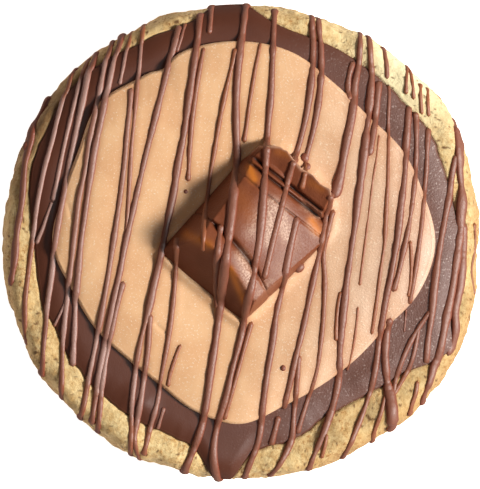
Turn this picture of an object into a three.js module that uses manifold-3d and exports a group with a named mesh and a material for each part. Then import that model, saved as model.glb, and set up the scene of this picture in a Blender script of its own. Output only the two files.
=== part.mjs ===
// A round stuffed cookie: a thick biscuit with a nearly flat top under a coat of dark chocolate spread, a disc of
// tan icing, a broken piece of a chocolate bar in the middle, and thin strands of milk chocolate drizzled over it all.
// Millimetres, +Z up, the middle of the flat underside at the origin; the strands run from +Y to -Y.
import * as THREE from "three";
import { ConvexGeometry } from "three/addons/geometries/ConvexGeometry.js";
import { ParametricGeometry } from "three/addons/geometries/ParametricGeometry.js";
import { mergeVertices } from "three/addons/utils/BufferGeometryUtils.js";
import Module from "manifold-3d";

const wasm = await Module();
wasm.setup();

const TURN = 2 * Math.PI;
const UPWARD = new THREE.Vector3(0, 0, 1);
const GAP = 0.3;            // clearance between one piece and the next

// The biscuit: its widest line is the waist, the crown curves over above it and the foot tucks in below it
const COOKIE_RADII = [54, 56, 55, 54.4, 54.6, 54.4, 53.8, 54, 53.6, 53.2, 53.8, 55.4];
const COOKIE_SIDES = 64;
const WAIST_HEIGHT = 9;
const CROWN_RISE = 16;
const CROWN_POWER = 12;     // 2 is an ellipse, more is flatter on top
const CROWN_FULLNESS = 8;   // 2 is an ellipse, more is squarer at the shoulder
const CROWN_LEVELS = [0, 0.35, 0.64, 0.78, 0.86, 0.915, 0.953, 0.98, 1];  // its section's cuts, shares of the rise
const FOOT_INSET = 5;
const UNDERSIDE_STEPS = 2;
const FOOT_STEPS = 3;

// The lumps baked into the bare rim and side
const LUMP_HEIGHT = 0.55;
const LUMPS_ROUND = 19;
const LUMP_GROUPS = 5;
const LUMP_SLANT = 0.33;        // radians for each millimetre of height
const LUMP_DRIFT = 0.05;        // how unevenly they are spaced, in radians
const LUMP_DRIFT_WAVES = 7;
const LUMP_RISE = [0.5, 3.5];   // how far outside the spread the lumps begin and are full

// The spread and its runs, where it flowed further out: direction in degrees, reach and half width in degrees
const SPREAD_RADII = [
  50.5, 49.3, 49.8, 49.2, 49.2, 50, 50.2, 51, 51, 51.5, 50.6, 49.4,
  46.7, 46.8, 46.3, 46.2, 46.3, 46.5, 46.6, 45.8, 43.4, 45.6, 49.5, 50.3,
];
const SPREAD_RUNS = [
  { at: 92, reach: 4.5, half: 8 },
  { at: 265.4, reach: 7.6, half: 5.6 },
  { at: 333, reach: 3.4, half: 6 },
];
const LONGEST_RUN = THREE.MathUtils.degToRad(SPREAD_RUNS[1].at);
const SPREAD_SIDES = 56;
const SPOKE_CROWDING = 0.4;    // how much closer together the spokes are round the longest run
const SPREAD_THICKNESS = 1.6;
const SPREAD_ROUNDING = 1.4;
const RUN_LIMIT = 0.996;    // share of the biscuit's radius where the longest run stops

const ICING_RADII = [
  44.2, 43.2, 42.6, 41.2, 42.4, 45.1, 46, 45.7, 44.1, 45.2, 42.4, 41.8,
  42.5, 39.5, 38, 36.5, 36.7, 39.2, 40.7, 38, 36.9, 37, 38.1, 42,
];
const ICING_SIDES = 40;
const ICING_THICKNESS = 2;
const ICING_ROUNDING = 1.2;

// The broken bar piece, in its own frame: along the bar, across it and up from its flat underside.
// It is a wedge, lower towards its far end and towards its low right side
const PIECE_TURN = THREE.MathUtils.degToRad(52);
const PIECE_BASE = [
  [-12.8, -13.6], [-13.4, 11.6], [9, 14.4], [15.6, 14.2], [19.5, 10.5], [19.5, -10.8], [14, -11.8],
];
const PIECE_TOP = [
  [-3.5, -8.4, 10], [-6, 0, 9.6], [-7.2, 8.2, 6.6], [-9.4, 11, 4],
  [12, -8.4, 6.7], [12, 0, 6.1], [12, 7.6, 3.4], [9, 13.6, 1.5],
];
const STUB_BASE = [[14, -11], [14, 10.6], [21.8, 10.2], [22.6, -10.4]];
const STUB_TOP = [[17.8, -8.6, 3], [17.8, 8.6, 3.5], [21.4, 7, 4.4], [22, -7.4, 4.3]];
const CREASE_ENDS = [[0.9, -9.5, 9.2], [-4.6, 12.5, 4.6]];
const CREASE_WIDTH = 1.5;
const CREASE_DEPTH = 1.4;

// The drizzle, one row a strand: its far end (x, y), its near end (x, y),
// how far its middle bows to +X from the straight line, and its width
const STRANDS = [
  [-42.5, 33.5, -49.6, 21, -0.9, 2],
  [-49.6, 21, -52.4, -9.5, 0.25, 1.4],
  [-32.9, 39, -45, -29.5, -1.8, 1.3],
  [-26.2, 47.2, -37.9, -27.8, -2.4, 1.2],
  [-13.6, 49.7, -33.9, -41, -1.3, 1.4],
  [-26.4, -8.3, -32.5, -43, -0.9, 1.3],
  [-8.8, 52.6, -21, -16, 0.9, 1.6],
  [1.5, 54.1, -0.6, 19.5, -1.1, 1.6],
  [-0.6, 19.5, -8.2, -39.5, 0.4, 1.6],
  [-8.2, -39.5, -12.9, -52, 0.4, 1.5],
  [7.9, 53.5, 4.4, 0, 0.4, 1.4],
  [4.4, 0, -5.1, -41, 0.6, 1.4],
  [-5.1, -41, -4.4, -54, -1.1, 1.6],
  [16.2, 52, 12.1, 18.8, 1.9, 1.4],
  [12.1, 18.8, 5.4, -8, -0.3, 1.3],
  [17.7, 51.8, 14.8, 19.5, 1.9, 1.4],
  [12.9, 6.4, 4.6, -42, -0.7, 1.4],
  [4.6, -42, 0.9, -53.4, 0.4, 1.4],
  [27.1, 47.8, 21.3, 10.4, 0.7, 1.9],
  [28.8, 46.8, 25.4, 1, 2, 1.8],
  [25.4, 1, 22.5, -29, -0.4, 1.5],
  [22.5, -29, 15.3, -50.8, 1.3, 1.4],
  [38.2, 31.6, 31.5, -20.5, 1.2, 1.5],
  [31.5, -20.5, 23, -48.8, 1.8, 1.2],
  [39.8, 30.2, 34.6, -10.8, 1.9, 1.2],
  [48.3, 29.2, 49.6, 2, 1.4, 1.9],
  [49.6, 2, 43.8, -29, 0.5, 1.8],
  [43.8, -29, 41.2, -36.8, 0.2, 1.5],
  [49.2, 20.5, 42, -27, -0.6, 1.4],
  [50.6, 5, 48.6, -15.5, 0.9, 1.4],
  [48.6, -15.5, 47.4, -25.8, 1, 1.3],
  [34, -16.5, 33.1, -31, -0.6, 1.6],
  [33.1, -31, 34.4, -43, 0.8, 1.7],
  [20.6, 11.4, 9.8, -37.4, 0.4, 1.3],
  [12.1, -41, 6.6, -53.1, 1.2, 1.3],
];
// A strand's section, across and up from the surface it lies on, as shares of its width
const STRAND_SECTION = [[-0.5, -0.4], [0.5, -0.4], [0.3, 0.55], [-0.3, 0.55]];
const STRAND_STEP = 0.8;        // between the points where a strand's height is worked out
const STRAND_SAG = 1.6;         // how far a strand bridges before it drops off a step
const STRAND_TOLERANCE = 0.45;  // how far the kept points may leave out of its true run
const STRAND_REACH = 0.998;     // share of the biscuit's radius where a strand stops on the side

// Where a poured layer's section is cut, as shares of its radius and as degrees round its edge
const LAYER_SHARES = [0, 0.35, 0.65, 0.87, 1];
const LAYER_EDGE = [0, 30, 60, 90];
const LAYER_SINK = 0.9;         // how deep its underside starts before it is cut

const BAKED = { color: 0xe2c48c, roughness: 0.9 };
const DARK_CHOCOLATE = { color: 0x6a4538, roughness: 0.5 };
const TAN_ICING = { color: 0xe0b58a, roughness: 0.6 };
const MILK_CHOCOLATE = { color: 0x8a5540, roughness: 0.4 };

const ZONE_DEPTH = -2;          // how far below and above the biscuit's skin a cutting zone reaches
const ZONE_HEIGHT = 20;
const SPREAD_WALL = 4;          // how high a strand at the edge of the spread and of the icing may lie
const ICING_WALL = 7;
const SHORTEST_EDGE = 0.02;

// The radius in a direction, by a smooth closed curve through evenly spaced radii
function radiusAt(radii, angle) {
  const place = THREE.MathUtils.euclideanModulo(angle / TURN, 1) * radii.length;
  const first = Math.floor(place);
  const t = place - first;
  const [a, b, c, d] = [-1, 0, 1, 2].map((step) => radii[(first + step + radii.length) % radii.length]);
  return b + 0.5 * t * (c - a + t * (2 * a - 5 * b + 4 * c - d + t * (3 * (b - c) + d - a)));
}

const cookieEdge = (angle) => radiusAt(COOKIE_RADII, angle);
const icingEdge = (angle) => radiusAt(ICING_RADII, angle);

function spreadEdge(angle) {
  let radius = radiusAt(SPREAD_RADII, angle);
  for (const { at, reach, half } of SPREAD_RUNS) {
    const off = THREE.MathUtils.euclideanModulo(THREE.MathUtils.radToDeg(angle) - at + 180, 360) - 180;
    radius += reach * Math.exp(-((off / half) ** 2));
  }
  return Math.min(radius, RUN_LIMIT * cookieEdge(angle));
}

// The biscuit's smooth crown at a direction and radius: the point on it and the way it faces
function crownAt(angle, radius) {
  const edge = cookieEdge(angle);
  const share = Math.min(radius / edge, 1);
  const level = (1 - share ** CROWN_POWER) ** (1 / CROWN_FULLNESS);
  const around = new THREE.Vector3(Math.cos(angle), Math.sin(angle), 0);
  const normal = around.clone().multiplyScalar((CROWN_POWER * share ** (CROWN_POWER - 1)) / edge);
  normal.z = (CROWN_FULLNESS * level ** (CROWN_FULLNESS - 1)) / CROWN_RISE;
  const point = around.multiplyScalar(share * edge);
  point.z = WAIST_HEIGHT + CROWN_RISE * level;
  return { point, normal: normal.normalize() };
}

// How far the lumps of the bare rim stand out, none under the spread
function lumpAt(angle, radius, height) {
  const outside = radius - spreadEdge(angle);
  const bare = THREE.MathUtils.smoothstep(outside, ...LUMP_RISE);
  const drifted = angle + LUMP_DRIFT * Math.sin(LUMP_DRIFT_WAVES * angle);
  const slant = LUMP_SLANT * height;
  return LUMP_HEIGHT * bare * Math.sin(LUMPS_ROUND * drifted + slant) * Math.cos(LUMP_GROUPS * angle + slant);
}

// The biscuit's outside, by stage: 0 to 1 along the underside, 1 to 2 up the foot, then 2 more than the crown's level
function cookiePoint(angle, stage, target) {
  const edge = cookieEdge(angle);
  if (stage > 2) {
    const { point, normal } = crownAt(angle, edge * (1 - (stage - 2) ** CROWN_FULLNESS) ** (1 / CROWN_POWER));
    const lump = lumpAt(angle, Math.hypot(point.x, point.y), point.z);
    return target.copy(point).addScaledVector(normal, lump);
  }
  const lift = Math.max(0, stage - 1) * (Math.PI / 2);
  const height = WAIST_HEIGHT * (1 - Math.cos(lift));
  const lump = lumpAt(angle, edge, height) * Math.sin(lift);
  const radius = (edge - FOOT_INSET * (1 - Math.sin(lift)) + lump) * Math.min(1, stage);
  return target.set(radius * Math.cos(angle), radius * Math.sin(angle), height);
}

// A manifold solid from a closed three.js geometry
function solid(geometry) {
  geometry.deleteAttribute("normal");
  geometry.deleteAttribute("uv");
  const merged = mergeVertices(geometry);
  const index = Array.from(merged.index.array);
  const triVerts = [];
  for (let i = 0; i < index.length; i += 3) {
    const [a, b, c] = index.slice(i, i + 3);
    if (a !== b && b !== c && c !== a) triVerts.push(a, b, c);
  }
  const vertProperties = new Float32Array(merged.attributes.position.array);
  return new wasm.Manifold(new wasm.Mesh({ numProp: 3, vertProperties, triVerts: new Uint32Array(triVerts) }));
}

// The biscuit, closed from the middle of its underside to the middle of its top
function cookieSolid() {
  const stages = [];
  for (let i = 0; i < UNDERSIDE_STEPS; i += 1) stages.push(i / UNDERSIDE_STEPS);
  for (let i = 0; i < FOOT_STEPS; i += 1) stages.push(1 + i / FOOT_STEPS);
  for (const level of CROWN_LEVELS) stages.push(2 + level);
  const surface = (u, v, target) => cookiePoint(u * TURN, stages[Math.round(v * (stages.length - 1))], target);
  return solid(new ParametricGeometry(surface, COOKIE_SIDES, stages.length - 1));
}

// A solid that lies over the crown out to an edge, by stations along its section from the middle of its
// underside to the middle of its top: share of the edge's radius, distance in from the edge, lift off the crown.
// All of it is moved straight out from the middle by a margin
function overCrown(edgeAt, stations, sides, margin = 0) {
  const surface = (u, v, target) => {
    const [share, inset, lift] = stations[Math.round(v * (stations.length - 1))];
    const angle = LONGEST_RUN + u * TURN - SPOKE_CROWDING * Math.sin(u * TURN);
    const { point, normal } = crownAt(angle, Math.max(0, share * edgeAt(angle) - inset));
    target.copy(point).addScaledVector(normal, lift);
    target.x += share * margin * Math.cos(angle);
    target.y += share * margin * Math.sin(angle);
  };
  return solid(new ParametricGeometry(surface, sides, stations.length - 1));
}

// A poured layer with a rounded edge; its underside is sunk, to be cut by what it lies on
function layerSolid(edgeAt, bottom, thickness, rounding, sides) {
  const stations = LAYER_SHARES.map((share) => [share, 0, bottom - LAYER_SINK]);
  for (const lift of LAYER_EDGE.map(THREE.MathUtils.degToRad)) {
    stations.push([1, rounding * (1 - Math.cos(lift)), bottom + thickness * Math.sin(lift)]);
  }
  for (const share of LAYER_SHARES.toReversed().slice(1)) stations.push([share, 0, bottom + thickness]);
  return overCrown(edgeAt, stations, sides);
}

// The space over a layer out to its edge, grown by a margin, where a strand belongs to that layer;
// at the edge it is as high as a wall, and higher further in
function zoneSolid(edgeAt, margin, sides, wall) {
  const stations = LAYER_SHARES.map((share) => [share, 0, ZONE_DEPTH]);
  for (const share of LAYER_SHARES.toReversed()) stations.push([share, 0, share < 1 ? ZONE_HEIGHT : wall]);
  return overCrown(edgeAt, stations, sides, margin);
}

const spreadBottom = GAP;
const icingBottom = spreadBottom + SPREAD_THICKNESS + GAP;
const pieceBottom = WAIST_HEIGHT + CROWN_RISE + icingBottom + ICING_THICKNESS + GAP;

// A point of the bar piece's own frame, above its underside, in the frame of the whole cookie
function piecePoint([along, across, up = 0]) {
  return new THREE.Vector3(along, -across, pieceBottom + up).applyAxisAngle(UPWARD, PIECE_TURN);
}

const pieceBlock = new ConvexGeometry([...PIECE_BASE, ...PIECE_TOP].map(piecePoint));
const pieceStub = new ConvexGeometry([...STUB_BASE, ...STUB_TOP].map(piecePoint));

// The broken bar piece: a block with sloping sides and a crease across its top, and a stub of the next segment
function pieceSolid() {
  const crease = new ConvexGeometry(CREASE_ENDS.flatMap(([along, across, up]) => [
    piecePoint([along - CREASE_WIDTH, across, up + CREASE_DEPTH]),
    piecePoint([along + CREASE_WIDTH, across, up + CREASE_DEPTH]),
    piecePoint([along, across, up - CREASE_DEPTH]),
  ]));
  return solid(pieceBlock.clone()).add(solid(pieceStub.clone())).subtract(solid(crease));
}

// The space straight above the bar piece's underside, grown by a margin
function pieceZone(margin, bottom) {
  const outline = [...PIECE_BASE, ...STUB_BASE];
  const corners = outline.flatMap(([along, across]) => {
    const place = [along + margin * Math.sign(along), across + margin * Math.sign(across)];
    return [piecePoint([...place, bottom]), piecePoint([...place, ZONE_HEIGHT])];
  });
  return solid(new ConvexGeometry(corners));
}

// The height of a convex shape's top above the bar piece's underside at a place, or 0 beside it
const down = new THREE.Ray(new THREE.Vector3(), new THREE.Vector3(0, 0, -1));
function heightOf(shape, x, y) {
  const corners = shape.attributes.position;
  const [a, b, c, hit] = [0, 1, 2, 3].map(() => new THREE.Vector3());
  down.origin.set(x, y, pieceBottom + ZONE_HEIGHT);
  let height = 0;
  for (let i = 0; i < corners.count; i += 3) {
    a.fromBufferAttribute(corners, i);
    b.fromBufferAttribute(corners, i + 1);
    c.fromBufferAttribute(corners, i + 2);
    if (down.intersectTriangle(a, b, c, true, hit)) height = Math.max(height, hit.z - pieceBottom);
  }
  return height;
}

// The height of a poured layer over a place, from its distance in from the edge
function layerHeight(inside, thickness, rounding) {
  const near = THREE.MathUtils.clamp(1 - inside / rounding, 0, 1);
  return inside > 0 ? GAP + thickness * Math.sqrt(1 - near ** 2) : 0;
}

// How much lies over the smooth crown at a place: lumps, spread, icing and bar piece
function coverAt(x, y) {
  const angle = Math.atan2(y, x);
  const radius = Math.hypot(x, y);
  const crown = crownAt(angle, radius).point.z;
  const onPiece = Math.max(heightOf(pieceBlock, x, y), heightOf(pieceStub, x, y));
  return lumpAt(angle, radius, crown)
    + layerHeight(spreadEdge(angle) - radius, SPREAD_THICKNESS, SPREAD_ROUNDING)
    + layerHeight(icingEdge(angle) - radius, ICING_THICKNESS, ICING_ROUNDING)
    + (onPiece > 0 ? onPiece + GAP : 0);
}

// The points a strand runs through, each with the way the surface faces there
function strandRun([farX, farY, nearX, nearY, bow]) {
  const steps = Math.ceil(Math.hypot(nearX - farX, nearY - farY) / STRAND_STEP);
  const places = [];
  for (let i = 0; i <= steps; i += 1) {
    const t = i / steps;
    const x = THREE.MathUtils.lerp(farX, nearX, t) + 4 * bow * t * (1 - t);
    const y = THREE.MathUtils.lerp(farY, nearY, t);
    const angle = Math.atan2(y, x);
    const radius = Math.min(Math.hypot(x, y), STRAND_REACH * cookieEdge(angle));
    places.push({ angle, radius, cover: coverAt(radius * Math.cos(angle), radius * Math.sin(angle)) });
  }
  const reach = Math.round(STRAND_SAG / STRAND_STEP);
  return places.map(({ angle, radius, cover }, i) => {
    const near = places.slice(Math.max(0, i - reach), i + reach + 1);
    const mean = near.reduce((sum, place) => sum + place.cover, 0) / near.length;
    const { point, normal } = crownAt(angle, radius);
    return { point: point.addScaledVector(normal, Math.max(cover, mean)), normal };
  });
}

// Only the points of a run that its shape needs
function keptPoints(run) {
  const ends = new THREE.Line3(run[0].point, run[run.length - 1].point);
  const closest = new THREE.Vector3();
  let worst = 0;
  let split = 0;
  for (let i = 1; i < run.length - 1; i += 1) {
    const off = ends.closestPointToPoint(run[i].point, true, closest).distanceTo(run[i].point);
    if (off > worst) [worst, split] = [off, i];
  }
  if (worst < STRAND_TOLERANCE) return [run[0], run[run.length - 1]];
  return [...keptPoints(run.slice(0, split + 1)).slice(0, -1), ...keptPoints(run.slice(split))];
}

// A strand: its section carried along its run, closed to a point at both ends
function strandSolid(row) {
  const width = row[row.length - 1];
  const run = keptPoints(strandRun(row));
  const rings = run.map(({ point, normal }, i) => {
    const ahead = run[Math.min(i + 1, run.length - 1)].point.clone().sub(run[Math.max(i - 1, 0)].point).normalize();
    const side = ahead.clone().cross(normal).normalize();
    return { point, ahead, side, up: side.clone().cross(ahead) };
  });
  const sides = STRAND_SECTION.length;
  const surface = (u, v, target) => {
    const station = Math.round(u * (rings.length + 1)) - 1;
    const { point, ahead, side, up } = rings[THREE.MathUtils.clamp(station, 0, rings.length - 1)];
    target.copy(point);
    if (station < 0) return target.addScaledVector(ahead, -width / 2);
    if (station >= rings.length) return target.addScaledVector(ahead, width / 2);
    const [across, rise] = STRAND_SECTION[Math.round(v * sides) % sides];
    return target.addScaledVector(side, across * width).addScaledVector(up, rise * width);
  };
  return solid(new ParametricGeometry(surface, rings.length + 1, sides));
}

// One named mesh from a solid and the strands fused to it; a scrap of strand that touches nothing is dropped,
// and so are edges too short to matter
function node(name, body, finish) {
  const pieces = body.simplify(SHORTEST_EDGE).decompose().sort((a, b) => b.volume() - a.volume());
  const { vertProperties, triVerts } = pieces[0].getMesh();
  const geometry = new THREE.BufferGeometry();
  geometry.setAttribute("position", new THREE.BufferAttribute(vertProperties, 3));
  geometry.setIndex(new THREE.BufferAttribute(triVerts, 1));
  geometry.computeVertexNormals();
  const mesh = new THREE.Mesh(geometry, new THREE.MeshStandardMaterial({ name, ...finish }));
  mesh.name = name;
  return mesh;
}

// What lies on a piece keeps the gap to it, above it and beside it
const GROWN = 1 + GAP / Math.min(...COOKIE_RADII);
const clearOf = (upper, lower) => upper.subtract(lower.scale([GROWN, GROWN, 1]).translate([0, 0, GAP]));

const spreadZone = zoneSolid(spreadEdge, 0, SPREAD_SIDES, SPREAD_WALL);
const icingZone = zoneSolid(icingEdge, 0, ICING_SIDES, ICING_WALL);
const spreadLayer = layerSolid(spreadEdge, spreadBottom, SPREAD_THICKNESS, SPREAD_ROUNDING, SPREAD_SIDES);
const icingLayer = layerSolid(icingEdge, icingBottom, ICING_THICKNESS, ICING_ROUNDING, ICING_SIDES);

const strands = wasm.Manifold.union(STRANDS.map(strandSolid));
const offPiece = strands.subtract(pieceZone(GAP, ZONE_DEPTH));
const offIcing = offPiece.subtract(zoneSolid(icingEdge, GAP, ICING_SIDES, ICING_WALL));
const offSpread = offIcing.subtract(zoneSolid(spreadEdge, GAP, SPREAD_SIDES, SPREAD_WALL));

const biscuit = cookieSolid();
const coat = clearOf(spreadLayer.intersect(spreadZone), biscuit);
const disc = clearOf(icingLayer, coat);

const cookie = biscuit.add(offSpread);
const spread = coat.add(clearOf(offIcing.intersect(spreadZone), biscuit));
const icing = disc.add(clearOf(offPiece.intersect(icingZone), coat));
const piece = pieceSolid().add(strands.intersect(pieceZone(0, 0)));

const stuffedCookie = new THREE.Group();
stuffedCookie.name = "stuffed_cookie";
stuffedCookie.add(
  node("cookie", cookie, BAKED),
  node("chocolate_spread", spread, DARK_CHOCOLATE),
  node("icing", icing, TAN_ICING),
  node("chocolate_piece", piece, MILK_CHOCOLATE),
);

export default stuffedCookie;
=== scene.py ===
import itertools
import math

import bpy
import numpy as np
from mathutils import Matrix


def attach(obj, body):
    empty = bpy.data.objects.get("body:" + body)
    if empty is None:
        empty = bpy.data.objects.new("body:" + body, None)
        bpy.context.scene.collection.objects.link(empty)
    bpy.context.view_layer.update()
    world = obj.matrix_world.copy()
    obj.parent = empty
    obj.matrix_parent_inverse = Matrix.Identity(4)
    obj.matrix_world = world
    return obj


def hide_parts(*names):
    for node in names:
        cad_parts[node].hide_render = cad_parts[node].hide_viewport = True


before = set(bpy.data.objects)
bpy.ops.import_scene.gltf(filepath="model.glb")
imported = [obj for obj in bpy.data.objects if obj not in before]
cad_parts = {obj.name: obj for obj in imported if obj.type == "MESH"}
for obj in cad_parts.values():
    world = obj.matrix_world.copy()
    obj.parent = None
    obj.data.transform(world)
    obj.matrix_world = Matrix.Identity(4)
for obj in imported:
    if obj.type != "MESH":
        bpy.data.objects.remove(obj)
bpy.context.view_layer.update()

# A round stuffed cookie: a baked biscuit, a coat of chocolate spread, a disc of tan icing, a broken piece of
# a chocolate bar, and milk chocolate drizzled over it all. Sizes are millimetres until a mesh is made
MM = 0.001
TURN = 2 * math.pi

# The biscuit, with the widest line at its waist: its radius every 30 degrees from +X
COOKIE_RADII = [54, 56, 55, 54.4, 54.6, 54.4, 53.8, 54, 53.6, 53.2, 53.8, 55.4]
WAIST_HEIGHT = 9
CROWN_RISE = 16
CROWN_POWER = 12
CROWN_FULLNESS = 8
FOOT_INSET = 5
# Keeps the crown's slope finite at the waist
LEAST_LEVEL = 1e-18
# Its grid: rows on the underside and under the spread as shares of the radius, rows up the foot, the spacing
# of those over the crown, the share that they go in to, and how finely its section is measured
COOKIE_SIDES = 860
UNDERSIDE_SHARES = (0.3, 0.6, 0.9)
FOOT_ROWS = 25
CROWN_STEP = 0.36
CROWN_INNERMOST = 0.78
COVERED_SHARES = (0.6, 0.3)
SECTION_STEPS = 5000
# The share of its radius where the side's crumbs start, and of the crown's rise where the lip is whole
SIDE_SHARES = (0.95, 0.99)
SHOULDER = 0.6

# The lumps baked into the bare rim and side
LUMP_HEIGHT = 0.55
LUMPS_ROUND = 19
LUMP_GROUPS = 5
LUMP_SLANT = 0.33
LUMP_DRIFT = 0.05
LUMP_DRIFT_WAVES = 7
# How far outside the spread's edge the lumps, the crags and the lip start and are whole
LUMP_RISE = (0.5, 3.5)
CRAG_RISE = (-0.5, 0.6)
LIP_RISE = (-0.4, 0.4)

# The lip of dough round the spread: its step, and its height, crest and reach as shares of the rim's breadth
LIP_STEP = 0.8
LIP_HEIGHT = 0.18
LIP_CREST = 0.8
LIP_REACH = 0.5
LEAST_BREADTH = 0.5

# The pits of the open crumb: their size and shift, the random values they open between, and their depth
PIT_SIZE = 0.8
PIT_SHIFT = 101
PIT_OPENS = (0.56, 0.8)
PIT_DEPTH = 0.2

# Random relief, each row a height, a size and a shift that keeps it apart from the others
CRAGS = [(0.28, 6, 0), (0.14, 2.4, 31)]
CRUMBS = [(0.1, 1, 67)]
SIDE_CRUMBS = [(0.26, 1.7, 89)]
EDGE_RIPPLE = [(0.45, 4.5, 0), (0.2, 1.8, 0)]
SPREAD_WAVES = [(0.16, 14, 0), (0.07, 6, 47), (0.03, 3, 11)]
ICING_WAVES = [(0.16, 12, 5), (0.06, 4, 23), (0.018, 1.2, 41)]
BAR_WAVES = [(0.1, 5, 0), (0.03, 1.1, 19)]
STUB_BREAK = [(0.35, 3.2, 3)]
BROKEN_EDGE = [(0.25, 2.6, 0), (0.1, 0.9, 9)]
STRAND_SWAY = [(0.2, 7, 0)]
STRAND_UNEVEN = [(0.3, 6, 50), (0.16, 2, 90)]
SMEAR_PATCHES = [(0.35, 2.5, 0)]
# The circles that the spread's ripple and the bar's broken edge are measured on
RIPPLE_CIRCLE = 50
BROKEN_CIRCLE = 22

# The spread: its edge every 15 degrees, and its runs as direction in degrees, reach and half width in degrees
SPREAD_RADII = [
    50.5, 49.3, 49.8, 49.2, 49.2, 50, 50.2, 51, 51, 52.2, 51.1, 49.4,
    46.7, 46.8, 46.3, 46.2, 46.3, 46.5, 46.6, 45.8, 43.4, 45.6, 49.5, 50.3,
]
SPREAD_RUNS = [(92, 4.5, 8), (265.4, 7.6, 5.6), (333, 3.4, 6)]
RUN_LIMIT = 0.996
# Where it heaps up, along a line: its two ends (x, y), reach and height
SPREAD_HEAPS = [
    (-24, -34.4, -22.2, -35.9, 2.7, 0.55), (45.4, -4, 43.6, -18, 2.2, 0.3), (28, -31, 34, -27, 2.4, 0.3),
]
# A poured layer's quarter-round edge and the slow swell inside it: each a height and how far in it reaches
SPREAD_POUR = (0.6, 0.6, 1, 5)
ICING_POUR = (0.9, 0.8, 1.1, 10)

# The icing: its edge every 15 degrees
ICING_RADII = [
    44.2, 43.2, 42.6, 41.2, 42.4, 45.1, 46, 45.7, 44.1, 45.2, 42.4, 41.8,
    42.5, 39.5, 38, 36.5, 36.7, 39.2, 40.7, 38, 36.9, 37, 38.1, 42,
]
# Where its edge is dented: direction and half width in degrees, and depth
ICING_DENT = (113.5, 3.2, 1.2)
# Its creases, each along a line: two ends (x, y), reach and depth
ICING_CREASES = [(-39, 9, -38.2, 6, 0.4, 0.16), (-19, -18.2, -16.5, -20.4, 0.45, 0.2)]
# Where it swells more: direction in degrees, height and how far in it reaches
ICING_SWELL = (-22, 0.8, 9)
# Between which cosines off that direction, and between which radii, the swell grows
SWELL_COSINES = (0.1, 0.8)
SWELL_RADII = (8, 32)
# The rim of icing squeezed up round the bar piece: its height and how far it reaches
SQUEEZED_HEIGHT = 0.8
SQUEEZED_REACH = 1.3

# A layer's grid: its underside's rows as shares of its radius, how deep they lie, and the turns of its edge
LAYER_UNDERSIDE = (0, 0.5, 0.9, 1)
LAYER_SUNK = 0.5
EDGE_TURNS = np.linspace(8, 90, 11)
SPREAD_SIDES = 900
SPREAD_SHARES = np.concatenate([np.linspace(1, 0.68, 62), [0.5, 0.25, 0]])
ICING_SIDES = 800
ICING_SHARES = np.linspace(1, 0, 104)

# What lies on what, with a gap between
GAP = 0.3
SPREAD_BOTTOM = GAP
ICING_BOTTOM = SPREAD_BOTTOM + SPREAD_POUR[0] + SPREAD_POUR[2] + GAP
PIECE_BOTTOM = WAIST_HEIGHT + CROWN_RISE + ICING_BOTTOM + ICING_POUR[0] + ICING_POUR[2] + GAP

# The bar piece in its own frame, along the bar and across it
PIECE_TURN = math.radians(52)
PIECE_HEIGHT = 10.7
PIECE_MIDDLE = (3.5, 0)
PIECE_OUTLINE = [
    (-13.2, -12.6), (-12.4, -13.8), (-2, -13.2), (14, -11.8), (17, -10.9), (20.2, -10.4), (22.9, -6.5),
    (23.3, -4.6), (22.6, -2.4), (21.9, 0.5), (22.6, 3.2), (22.1, 6), (22.3, 8.3), (21.2, 9.8), (19.4, 10.7),
    (17.4, 12.9), (15.4, 14.2), (9.2, 14.5), (-5, 12.7), (-12.4, 11.5), (-14, 10.6), (-14.2, 6.4),
    (-13.6, 3.5),
]
# Each steep face of the block: two places at its foot, and one on the face with its height
BLOCK_FACES = [
    ((-12.8, -13.6, 0), (-13.4, 11.6, 0), (-5.35, 0, 9.8)),
    ((-12.8, -13.6, 0), (14, -11.8, 0), (4, -8.4, 8.6)),
    ((-13.4, 11.9, 0), (9, 14.6, 0), (3, 12.4, 5)),
]
# Its top falls towards the far end from one place on, and rolls over towards +across between two places
TOP_FALL = 0.2
TOP_FALL_START = -4
ROLL_FALL = 0.38
ROLL = (-5, 4)
BACK_ROUND = 0.022
BACK_START = -3
# The far slope down to the groove, and the stub of the next segment beyond it
FAR_EDGE = 12.7
FAR_FALL = 0.55
STUB_FACES = [
    ((15.4, -10.8, 0), (15.4, 10.6, 0), (17.6, 0, 5.3)),
    ((14, -11.4, 0), (22.6, -10.6, 0), (18, -9.4, 5)),
    ((14, 11.4, 0), (21.8, 10.6, 0), (18, 9.9, 5)),
    ((17.8, -8, 3.7), (17.8, 8, 4), (22.4, 0, 5.3)),
]
# How soft its edges are, and what its heights are held to
EDGE_SOFTNESS = 0.22
HEIGHT_LIMIT = 60
LEAST_HEIGHT = 0.15

# The bent line of the groove across the top: its place, slant and bow, and where it starts and folds over
CROSSING_BEND = (0.8, 0.19, 0.014)
CROSSING_START = (-10, -6)
CROSSING_FOLD = (6.5, 8.5)
# Grooves as width and depth: across the top, its dip, over the fold, before the stub and at the far edge
TOP_GROOVE = (0.7, 1)
TOP_DIP = (2.2, 0.5)
FOLD_GROOVE = (0.4, 0.5)
FAR_GROOVE = (0.42, 1.1)
CREST_GROOVE = (0.25, 0.3)
GROOVE_LINES = (15.9, 17.4)
FAR_GROOVE_START = (-11, -8)
# How much painted shade they get, each a width and a strength, and where across that starts and stops
TOP_SHADE = (0.5, 0.75)
TOP_SPAN = ((-9, -6), CROSSING_FOLD)
FAR_SHADE = (0.36, 0.9)
FAR_SPAN = ((-11, -9), (9.5, 10.5))
CREST_SHADE = (0.2, 0.45)
CREST_SPAN = ((-8, -6), (5, 9))
# A crease over its flank, each stretch along a line: two ends (along, across), reach and depth
FLANK_CREASES = [(-1.2, -13.3, 0.3, -10.5, 0.3, 0.4), (0.3, -10.5, 0.1, -7, 0.35, 0.5)]

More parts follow.
